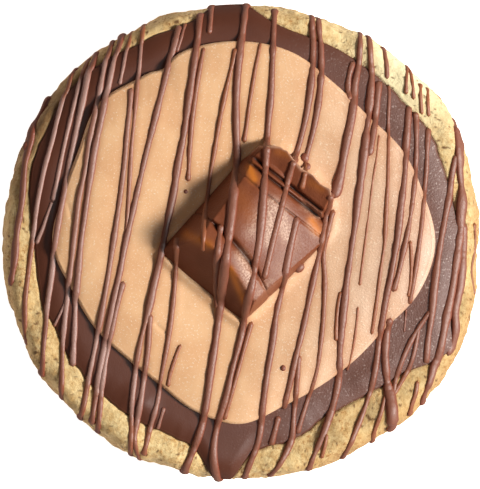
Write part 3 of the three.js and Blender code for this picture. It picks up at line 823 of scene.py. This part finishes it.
def drop_skin(x, y, width):
    """A fallen drop: a flattened ball lying on the surface, slightly longer than wide."""
    point, facing, cover = on_surface(np.array([x]), np.array([y]))
    middle = point[0] + facing[0] * cover[0]
    turn = all_round(DROP_SIDES)
    rise = np.linspace(-math.pi / 2, math.pi / 2, DROP_ROWS)
    flat = 0.5 * width * np.cos(rise)[:, None]
    high = DROP_HEIGHT * width * np.sin(rise)[:, None]
    rows = np.stack([flat * np.cos(turn), DROP_LENGTH * flat * np.sin(turn), high + 0 * turn], axis=-1)
    return closed_rows(middle + rows)


# Finishes

# Sockets by number, because some share a name: a colour Mix, then a Map Range
SHARE, FIRST, SECOND = 0, 6, 7
VALUE, LOW, HIGH, LEAST, MOST = range(5)
# The grain and the painted sheen grow to the right between two places in millimetres, and each one up
# counts for this much
GRAIN_AND_SHEEN_SLANT = -0.15
GRAIN_AND_SHEEN_SIDE = (2, 42)


def linear(code):
    """A colour of six hex digits as the linear red, green, blue and alpha that shaders take."""
    shares = np.array([int(code[i:i + 2], 16) / 255 for i in (0, 2, 4)])
    value = np.where(shares <= 0.04045, shares / 12.92, ((shares + 0.055) / 1.055) ** 2.4)
    return (*value.tolist(), 1)


def per_metre(size):
    """The scale of a pattern whose features measure that many millimetres."""
    return 1 / (size * MM)


def add(tree, kind, sockets, **settings):
    """Adds one node: settings are its properties, sockets its inputs, each a plain value or what feeds it."""
    made = tree.nodes.new("ShaderNode" + kind)
    for key, value in settings.items():
        setattr(made, key, value)
    for key, value in sockets.items():
        if isinstance(value, bpy.types.NodeSocket):
            tree.links.new(value, made.inputs[key])
        else:
            made.inputs[key].default_value = value
    return made


def finish(name):
    """A new material with no node but the one that says where its patterns are measured from."""
    made = bpy.data.materials.new(name)
    made.use_nodes = True
    made.node_tree.nodes.clear()
    place = add(made.node_tree, "TexCoord", {}).outputs["Object"]
    return made, made.node_tree, place


def grain_and_sheen_side(tree, place, least, most):
    """A share from least at the upper left to most at the lower right, where the toppings dried first: how
    strongly the sugar's grain stands out, and how far the colours take a painted sheen."""
    axes = add(tree, "SeparateXYZ", {"Vector": place}).outputs
    slant = add(tree, "Math", {0: axes["Y"], 1: GRAIN_AND_SHEEN_SLANT, 2: axes["X"]}, operation="MULTIPLY_ADD")
    start, stop = GRAIN_AND_SHEEN_SIDE
    sockets = {VALUE: slant.outputs[0], LOW: start * MM, HIGH: stop * MM, LEAST: least, MOST: most}
    return add(tree, "MapRange", sockets).outputs[0]


def baked_shortcrust():
    """Baked shortcrust: pale sandy crumb mottled with ochre and toasted towards its foot. It is darker on a
    few sides and at its outer edge, partly toast and partly painted shade, paler at the upper right, a
    painted highlight, and dark in its open pits, painted shade, and where chocolate was smeared on it."""
    made, tree, place = finish("baked_shortcrust")
    patches = add(tree, "TexNoise", {
        "Vector": place, "Scale": per_metre(1.8), "Detail": 4, "Roughness": 0.65})
    # Flour and sugar of about 0.2 mm, drawn at 0.6 mm so that they show
    sand = add(tree, "TexNoise", {"Vector": place, "Scale": per_metre(0.6), "Detail": 3, "Roughness": 0.7})
    marks = [add(tree, "Attribute", {}, attribute_name=key) for key in ("toast_and_shade", "painted_rim_highlight", "pit_shade_and_smear")]
    toast_and_shade, painted_rim_highlight, pit_shade_and_smear = [mark.outputs["Fac"] for mark in marks]
    grit = add(tree, "MapRange", {VALUE: sand.outputs["Fac"], LOW: 0.5, HIGH: 0.7})
    areas = add(tree, "TexNoise", {"Vector": place, "Scale": per_metre(7), "Detail": 1})
    gritty = add(tree, "MapRange", {VALUE: areas.outputs["Fac"], LOW: 0.4, HIGH: 0.6, LEAST: 0.3, MOST: 1})
    specks = add(tree, "Math", {0: grit.outputs[0], 1: gritty.outputs[0]}, operation="MULTIPLY").outputs[0]
    mottle = add(tree, "MapRange", {VALUE: patches.outputs["Fac"], LOW: 0.38, HIGH: 0.68})
    colour = add(tree, "Mix", {
        SHARE: mottle.outputs[0], FIRST: linear("F4D9A0"), SECOND: linear("D6AD6E")}, data_type="RGBA")
    # Toasted and painted shade, then specked, then a painted highlight, then painted shade in the pits and
    # the smear
    layers = [
        (toast_and_shade, "B48B55", "MIX"), (specks, "CAA06E", "MULTIPLY"), (painted_rim_highlight, "FFF3C6", "MIX"),
        (pit_shade_and_smear, "704A24", "MIX"),
    ]
    for share, code, blend in layers:
        over = {SHARE: share, FIRST: colour.outputs[2], SECOND: linear(code)}
        colour = add(tree, "Mix", over, data_type="RGBA", blend_type=blend)
    bump = add(tree, "Bump", {"Height": sand.outputs["Fac"], "Strength": 0.9, "Distance": 0.3 * MM})
    shader = add(tree, "BsdfPrincipled", {
        "Base Color": colour.outputs[2], "Roughness": 0.85, "IOR": 1.45, "Normal": bump.outputs[0]})
    add(tree, "OutputMaterial", {"Surface": shader.outputs[0]})
    return made


def set_chocolate_spread():
    """Set chocolate spread: dark and smooth, with a fine sugar grain. Its colour greys towards the lower
    right, a painted sheen, and takes pale painted glints there.
    """
    made, tree, place = finish("set_chocolate_spread")
    # Sugar of about 0.05 mm, drawn at 0.38 mm, and the painted glints at 0.5 mm, so that they show
    sugar = add(tree, "TexNoise", {"Vector": place, "Scale": per_metre(0.38), "Detail": 2, "Roughness": 0.6})
    cloud = add(tree, "TexNoise", {"Vector": place, "Scale": per_metre(9), "Detail": 3})
    side = grain_and_sheen_side(tree, place, 0, 1)
    # Painted sheen: the colours grow paler and greyer towards the lower right
    low = add(tree, "Mix", {SHARE: side, FIRST: linear("562A19"), SECOND: linear("674338")}, data_type="RGBA")
    high = add(tree, "Mix", {
        SHARE: side, FIRST: linear("643521"), SECOND: linear("775044")}, data_type="RGBA")
    dark = add(tree, "Mix", {
        SHARE: cloud.outputs["Fac"], FIRST: low.outputs[2], SECOND: high.outputs[2]}, data_type="RGBA")
    # Painted glints: pale specks that grow towards the lower right
    glints = add(tree, "TexNoise", {"Vector": place, "Scale": per_metre(0.5), "Detail": 1})
    bright = add(tree, "MapRange", {
        VALUE: glints.outputs["Fac"], LOW: 0.62, HIGH: 0.72,
        MOST: grain_and_sheen_side(tree, place, 0, 0.5)}).outputs[0]
    colour = add(tree, "Mix", {
        SHARE: bright, FIRST: dark.outputs[2], SECOND: linear("CDB7AE")}, data_type="RGBA")
    rough = add(tree, "MapRange", {
        VALUE: sugar.outputs["Fac"], LOW: 0.3, HIGH: 0.7,
        LEAST: grain_and_sheen_side(tree, place, 0.42, 0.45), MOST: grain_and_sheen_side(tree, place, 0.5, 0.58)})
    grainy = grain_and_sheen_side(tree, place, 0.12, 0.6)
    bump = add(tree, "Bump", {"Height": sugar.outputs["Fac"], "Strength": grainy, "Distance": 0.25 * MM})
    shader = add(tree, "BsdfPrincipled", {
        "Base Color": colour.outputs[2], "Roughness": rough.outputs[0],
        "IOR": 1.5, "Specular IOR Level": 0.5, "Normal": bump.outputs[0]})
    add(tree, "OutputMaterial", {"Surface": shader.outputs[0]})
    return made


def set_tan_icing():
    """Set cookie-butter icing: tan, satin, with fine pale sugar that is partly painted glints, slightly
    darker clouds, painted light that makes it lighter at the upper left and pinker and greyer towards the
    lower right, and a brown stain beside the drizzle, where its cocoa butter soaks in, that is partly painted
    shade."""
    made, tree, place = finish("set_tan_icing")
    # Sugar of about 0.1 mm, drawn at 0.45 mm so that it shows
    sugar = add(tree, "TexNoise", {"Vector": place, "Scale": per_metre(0.45), "Detail": 3, "Roughness": 0.7})
    cloud = add(tree, "TexNoise", {"Vector": place, "Scale": per_metre(8), "Detail": 3})
    clouded = add(tree, "MapRange", {VALUE: cloud.outputs["Fac"], LOW: 0.35, HIGH: 0.65})
    # Painted light: lighter and yellower at the upper left, pinker and greyer towards the lower right
    side = grain_and_sheen_side(tree, place, 0, 1)
    low = add(tree, "Mix", {SHARE: side, FIRST: linear("E6B182"), SECOND: linear("D8AE90")}, data_type="RGBA")
    high = add(tree, "Mix", {
        SHARE: side, FIRST: linear("F1C192"), SECOND: linear("E5C2AA")}, data_type="RGBA")
    tint = add(tree, "Mix", {
        SHARE: clouded.outputs[0], FIRST: low.outputs[2], SECOND: high.outputs[2]}, data_type="RGBA")
    # Pale sugar specks, partly painted glints
    grit = add(tree, "MapRange", {VALUE: sugar.outputs["Fac"], LOW: 0.58, HIGH: 0.7})
    sugar_and_glints = add(tree, "Mix", {
        SHARE: grit.outputs[0], FIRST: tint.outputs[2], SECOND: linear("FAE3C8")}, data_type="RGBA")
    # Painted shade beside the strands, with the brown stain of cocoa butter soaking in
    stain = add(tree, "Attribute", {}, attribute_name="stain").outputs["Fac"]
    colour = add(tree, "Mix", {
        SHARE: stain, FIRST: sugar_and_glints.outputs[2], SECOND: linear("A86F4C")}, data_type="RGBA")
    rough = add(tree, "MapRange", {
        VALUE: sugar.outputs["Fac"], LOW: 0.3, HIGH: 0.7,
        LEAST: grain_and_sheen_side(tree, place, 0.66, 0.6), MOST: grain_and_sheen_side(tree, place, 0.54, 0.4)})
    grainy = grain_and_sheen_side(tree, place, 0.12, 0.75)
    bump = add(tree, "Bump", {"Height": sugar.outputs["Fac"], "Strength": grainy, "Distance": 0.25 * MM})
    shader = add(tree, "BsdfPrincipled", {
        "Base Color": colour.outputs[2], "Roughness": rough.outputs[0],
        "IOR": 1.5, "Specular IOR Level": 0.3, "Normal": bump.outputs[0]})
    add(tree, "OutputMaterial", {"Surface": shader.outputs[0]})
    return made


def poured_milk_chocolate():
    """Poured milk chocolate: a satin shine, and redder where it is thin. It is darker and redder along a
    strand's edges, painted shade and a painted glow of light through it, and paler along some crests at the
    left, a painted sheen."""
    made, tree, place = finish("poured_milk_chocolate")
    marks = [add(tree, "Attribute", {}, attribute_name=key) for key in ("crest", "thin", "frost")]
    crest, thin, frost = [mark.outputs["Fac"] for mark in marks]
    cloud = add(tree, "TexNoise", {"Vector": place, "Scale": per_metre(3), "Detail": 3})
    milk = add(tree, "Mix", {
        SHARE: cloud.outputs["Fac"], FIRST: linear("804D3A"), SECOND: linear("935E4A")}, data_type="RGBA")
    # Painted shade and glow: darker and redder towards a strand's edges, by how high on its section
    colour = add(tree, "Mix", {
        SHARE: crest, FIRST: linear("84391F"), SECOND: milk.outputs[2]}, data_type="RGBA")
    # Reddened where it is thin, then a painted sheen along some crests
    for share, code in ((thin, "9A5833"), (frost, "B8948A")):
        over = {SHARE: share, FIRST: colour.outputs[2], SECOND: linear(code)}
        colour = add(tree, "Mix", over, data_type="RGBA")
    # The ripple of its flow, about 0.2 mm, drawn at 0.6 mm so that it shows
    fine = add(tree, "TexNoise", {"Vector": place, "Scale": per_metre(0.6), "Detail": 3, "Roughness": 0.6})
    bump = add(tree, "Bump", {"Height": fine.outputs["Fac"], "Strength": 0.6, "Distance": 0.2 * MM})
    shader = add(tree, "BsdfPrincipled", {
        "Base Color": colour.outputs[2], "Roughness": 0.46,
        "IOR": 1.5, "Specular IOR Level": 0.52, "Normal": bump.outputs[0]})
    add(tree, "OutputMaterial", {"Surface": shader.outputs[0]})
    return made


def moulded_milk_chocolate():
    """Moulded milk chocolate: glossy skin, a pale painted sheen, a painted warm glow where the shell over the
    filling is thin, painted shade in its grooves, and pale along a broken edge, partly the broken chocolate
    and partly painted highlight."""
    made, tree, place = finish("moulded_milk_chocolate")
    marks = [add(tree, "Attribute", {}, attribute_name=key) for key in ("painted_glow", "painted_bar_sheen", "broken_and_highlit", "painted_groove_shade")]
    painted_glow, painted_bar_sheen, broken_and_highlit, painted_groove_shade = [mark.outputs["Fac"] for mark in marks]
    # Cocoa butter crystals of about 0.05 mm, drawn at 0.45 mm so that they show
    fine = add(tree, "TexNoise", {"Vector": place, "Scale": per_metre(0.45), "Detail": 3, "Roughness": 0.65})
    cloud = add(tree, "TexNoise", {"Vector": place, "Scale": per_metre(4), "Detail": 2})
    flecks = add(tree, "MapRange", {
        VALUE: fine.outputs["Fac"], LOW: 0.42, HIGH: 0.62, LEAST: 0.25, MOST: 1.25})
    # Painted sheen, broken into flecks
    sheen_flecks = add(tree, "Math", {0: painted_bar_sheen, 1: flecks.outputs[0]}, operation="MULTIPLY").outputs[0]
    colour = add(tree, "Mix", {
        SHARE: cloud.outputs["Fac"], FIRST: linear("753C22"), SECOND: linear("8A4E34")}, data_type="RGBA")
    # A painted glow where the shell is thin, then painted sheen, then pale where it broke with a painted
    # highlight, then painted shade in the grooves
    for share, code in ((painted_glow, "C87328"), (sheen_flecks, "E8C6AE"), (broken_and_highlit, "D2A184"), (painted_groove_shade, "2C1610")):
        over = {SHARE: share, FIRST: colour.outputs[2], SECOND: linear(code)}
        colour = add(tree, "Mix", over, data_type="RGBA")
    rough = add(tree, "MapRange", {VALUE: fine.outputs["Fac"], LOW: 0.3, HIGH: 0.7, LEAST: 0.32, MOST: 0.5})
    bump = add(tree, "Bump", {"Height": fine.outputs["Fac"], "Strength": 0.4, "Distance": 0.25 * MM})
    shader = add(tree, "BsdfPrincipled", {
        "Base Color": colour.outputs[2], "Roughness": rough.outputs[0],
        "IOR": 1.5, "Specular IOR Level": 0.22, "Normal": bump.outputs[0]})
    add(tree, "OutputMaterial", {"Surface": shader.outputs[0]})
    return made


# The pieces

# Where the biscuit is darker, partly toast and partly painted shade: direction and half width in degrees, and
# strength
TOAST_AND_SHADE_SIDES = [(-50, 28, 0.42), (132, 24, 0.6), (196, 30, 0.3)]
MOST_TOAST_AND_SHADE = 0.9
# How toasted it is at the foot, and the heights, with a minus, between which that grows
FOOT_TOAST = 0.6
FOOT_DEPTHS = (-18, -3)
# The shares of its radius that the outer edge is darkened between, how much, and where more or less: partly
# crisping and partly painted shade, and less at the upper right, a painted highlight
CRISP_SHARES = (0.95, 1)
CRISP_AND_SHADE = 0.5
CRISP_AND_SHADE_SIDES = [(0, 40, 0.35), (70, 20, -0.3)]
# The smear of chocolate: direction and half width in degrees, strength, and the heights it fades between
SMEAR_SIDE = (150, 17)
SMEARED = 0.75
SMEAR_HEIGHTS = (6, 19)
# The painted highlight at the upper right, paler where the rim faces the light, in the same way
RIM_HIGHLIGHT_SIDE = (46, 14)
RIM_HIGHLIGHTED = 0.75
RIM_HIGHLIGHT_HEIGHTS = (12, 21)


def biscuit_marks(points):
    """How toasted and shaded, how highlighted and how dark the biscuit is at each vertex, 0 to 1. It is
    toasted towards its foot, and darker at its outer edge and on a few sides, partly toast and partly painted
    shade.
    It has painted shade in its pits, is smeared with chocolate at the upper left, where the drizzle starts,
    and has a painted highlight at the upper right. Smear and highlight fade down the side."""
    x, y, z = points.T
    angle = np.arctan2(y, x)
    outermost = smoothstep(np.hypot(x, y) / cookie_edge(angle), *CRISP_SHARES)
    # Darker at the outer edge and on a few sides: partly toast and partly painted shade
    crisp_and_shade = CRISP_AND_SHADE + sum(more * towards(angle, at, half) for at, half, more in CRISP_AND_SHADE_SIDES)
    toast_and_shade = FOOT_TOAST * smoothstep(-z, *FOOT_DEPTHS) + crisp_and_shade * outermost
    toast_and_shade = toast_and_shade + sum(strength * towards(angle, at, half) for at, half, strength in TOAST_AND_SHADE_SIDES)
    smear = towards(angle, *SMEAR_SIDE) * smoothstep(z, *SMEAR_HEIGHTS)
    smear = smear * (SMEARED + waves(points, SMEAR_PATCHES))
    # Painted highlight: paler where the rim faces the light at the upper right
    painted_rim_highlight = RIM_HIGHLIGHTED * towards(angle, *RIM_HIGHLIGHT_SIDE) * smoothstep(z, *RIM_HIGHLIGHT_HEIGHTS)
    # Painted shade in the open pits, with the chocolate smear
    pit_shade_and_smear = np.clip(np.maximum(pits(points), smear), 0, 1)
    return {"toast_and_shade": np.clip(toast_and_shade, 0, MOST_TOAST_AND_SHADE), "painted_rim_highlight": painted_rim_highlight, "pit_shade_and_smear": pit_shade_and_smear}


# Where the bar has a painted warm glow, light coming back through its thin shell, along a line: its two ends
# (x, y), reach and strength
PAINTED_GLOWS = [
    (2.2, 17.4, 3.2, 14.8, 1, 0.9), (16.2, 5.4, 17.6, 3, 1, 0.9), (-2.2, -5.6, 0.9, -13, 0.8, 0.9),
    (-12, 2.2, -7, -0.2, 1.2, 0.55), (0.2, 11, 2.5, 6, 2, 0.15), (8.6, 21, 11, 20.4, 1, 0.3),
    (16, 14, 18.4, 12.6, 1, 0.3),
]
# Where a pale painted sheen lies on it, in the same way
PAINTED_BAR_SHEENS = [
    (0.3, -2.6, 2.5, -9, 1.4, 0.6), (7.2, 9.4, 6.5, 0.5, 1.4, 0.6), (5.4, 7.6, 2.6, 2.6, 1.6, 0.3),
    (8.6, 8.2, 11, 1.5, 1.7, 0.6), (11.5, 0, 9, -6, 2, 0.16), (3.4, -11.4, 7, -8.4, 1.2, 0.22),
    (15.6, 4.2, 17, 2.2, 0.9, 0.25), (14.6, 8.8, 17.4, 6.6, 0.9, 0.4),
]
# Its broken edge, paler chocolate with a painted highlight: how pale, how far in, and where along and across
# the two broken ends begin
BROKEN_PALE_AND_HIGHLIT = 0.75
BROKEN_REACH = 0.35
FAR_BREAK = (16, 19)
NEAR_BREAK = (10.5, 12.5)
NEAR_CORNER = (6, 9)


def bar_marks(points):
    """How much painted glow the bar has at each vertex, how much painted sheen lies there, how deep it is in
    a groove, which sets its painted shade, and how pale where the edge is broken, each 0 to 1."""
    x, y = points[:, 0], points[:, 1]
    along, across = bar_frame(x, y)
    near_end = smoothstep(-along, *NEAR_BREAK) * smoothstep(across, *NEAR_CORNER)
    ends = np.maximum(smoothstep(along, *FAR_BREAK), near_end)
    # Paler along the broken edge, partly broken chocolate and partly painted highlight
    broken_and_highlit = BROKEN_PALE_AND_HIGHLIT * np.exp(-(inside_bar(along, across) / BROKEN_REACH) ** 2) * ends
    # Painted glow and painted sheen, each along its lines
    painted_glow, painted_bar_sheen = smeared(x, y, PAINTED_GLOWS), smeared(x, y, PAINTED_BAR_SHEENS)
    # Painted shade, darker the deeper in a groove
    return {"painted_glow": painted_glow, "painted_bar_sheen": painted_bar_sheen, "painted_groove_shade": grooves(along, across), "broken_and_highlit": broken_and_highlit}


biscuit = closed_rows(cookie_rows())
piece("baked_cookie", biscuit, baked_shortcrust(), "baked_cookie", ["cookie"], **biscuit_marks(biscuit[0]))

spread = layer_rows(spread_edge, SPREAD_SIDES, SPREAD_BOTTOM, SPREAD_POUR, SPREAD_SHARES, spread_relief)
piece("spread_coat", closed_rows(spread), set_chocolate_spread(), "chocolate_spread", ["chocolate_spread"])

icing = closed_rows(layer_rows(icing_edge, ICING_SIDES, ICING_BOTTOM, ICING_POUR, ICING_SHARES, icing_relief))
stain = drizzle_stain(icing[0][:, 0], icing[0][:, 1])
piece("icing_disc", icing, set_tan_icing(), "tan_icing", ["icing"], stain=stain)

bar = closed_rows(bar_rows())
piece("bar_piece", bar, moulded_milk_chocolate(), "milk_chocolate", ["chocolate_piece"], **bar_marks(bar[0]))

strand_draws = np.random.default_rng(5)
skins, thin, crest, frost = zip(*[strand_skin(rows, strand_draws) for rows in strand_rows()])
drops = [drop_skin(*drop) for drop in DROPS]
# A drop has no thin places and no painted sheen, and the colour of halfway up a strand
plain = tuple(np.zeros(len(skin[0])) for skin in drops)
thin = np.concatenate(thin + plain)
crest = np.concatenate(crest + tuple(none + 0.5 for none in plain))
frost = np.concatenate(frost + plain)
piece("drizzle", joined(list(skins) + drops), poured_milk_chocolate(), "milk_chocolate",
      ["cookie", "chocolate_spread", "icing", "chocolate_piece"], thin=thin, crest=crest, frost=frost)


# The floor, the light and the camera, in metres

def studio_paper():
    """Matt studio paper: near white, no shine."""
    made, tree, place = finish("studio_paper")
    fibre = add(tree, "TexNoise", {"Vector": place, "Scale": per_metre(40), "Detail": 2})
    tone = add(tree, "Mix", {
        SHARE: fibre.outputs["Fac"], FIRST: linear("F8F8F8"), SECOND: linear("FCFCFC")}, data_type="RGBA")
    shader = add(tree, "BsdfPrincipled", {
        "Base Color": tone.outputs[2], "Roughness": 1, "Specular IOR Level": 0,
        "Emission Color": linear("FFFFFF"), "Emission Strength": 0.96})
    add(tree, "OutputMaterial", {"Surface": shader.outputs[0]})
    return made


FLOOR_HALF = 3
FLOOR_DROP = 0.0002
corners = [(x * FLOOR_HALF, y * FLOOR_HALF, -FLOOR_DROP) for x, y in ((-1, -1), (1, -1), (1, 1), (-1, 1))]
floor_mesh = bpy.data.meshes.new("floor")
floor_mesh.from_pydata(corners, [], [(0, 1, 2, 3)])
floor_mesh.materials.append(studio_paper())
floor = bpy.data.objects.new("floor", floor_mesh)
bpy.context.scene.collection.objects.link(floor)
# The bright paper is kept out of what the shiny toppings mirror
floor.visible_glossy = False


def soft_light(name, azimuth, elevation, distance, size, watts, tint):
    """A square soft box that looks at the cookie from a direction in degrees, azimuth counted from +X."""
    lamp = bpy.data.lights.new(name, "AREA")
    lamp.size = size
    lamp.energy = watts
    lamp.color = linear(tint)[:3]
    box = bpy.data.objects.new(name, lamp)
    around, above = math.radians(azimuth), math.radians(elevation)
    flat = distance * math.cos(above)
    box.location = (flat * math.cos(around), flat * math.sin(around), distance * math.sin(above))
    box.rotation_euler = (math.pi / 2 - above, 0, around + math.pi / 2)
    box.visible_camera = False
    bpy.context.scene.collection.objects.link(box)
    return box


soft_light("key_light", azimuth=-5, elevation=39, distance=4, size=0.9, watts=242, tint="FFFDF8")
# The fill only lights, and the card above the key is only mirrored
fill = soft_light("fill_light", azimuth=200, elevation=40, distance=1, size=0.6, watts=0.65, tint="FFE0C2")
fill.visible_glossy = False
card = soft_light("sheen_card", azimuth=-24, elevation=60, distance=2, size=0.8, watts=21, tint="FFFFFF")
card.visible_diffuse = False
world = bpy.data.worlds.new("studio")
world.use_nodes = True
WORLD_LIGHT = 0.08
backdrop = world.node_tree.nodes["Background"].inputs
backdrop["Color"].default_value = linear("FFFFFF")
backdrop["Strength"].default_value = WORLD_LIGHT
bpy.context.scene.world = world
bpy.context.scene.view_settings.view_transform = "Standard"

# Straight above the middle: 489 picture rows see 111.1 mm at the height of the biscuit's top
CAMERA_HEIGHT = 2
SIGHT_HEIGHT = 0.025
FIELD = 0.1111
lens = bpy.data.cameras.new("camera")
lens.sensor_width = 36
lens.lens = lens.sensor_width * (CAMERA_HEIGHT - SIGHT_HEIGHT) / FIELD
lens.clip_end = 20
camera = bpy.data.objects.new("camera", lens)
camera.location = (0, 0, CAMERA_HEIGHT)
bpy.context.scene.collection.objects.link(camera)
bpy.context.scene.camera = camera
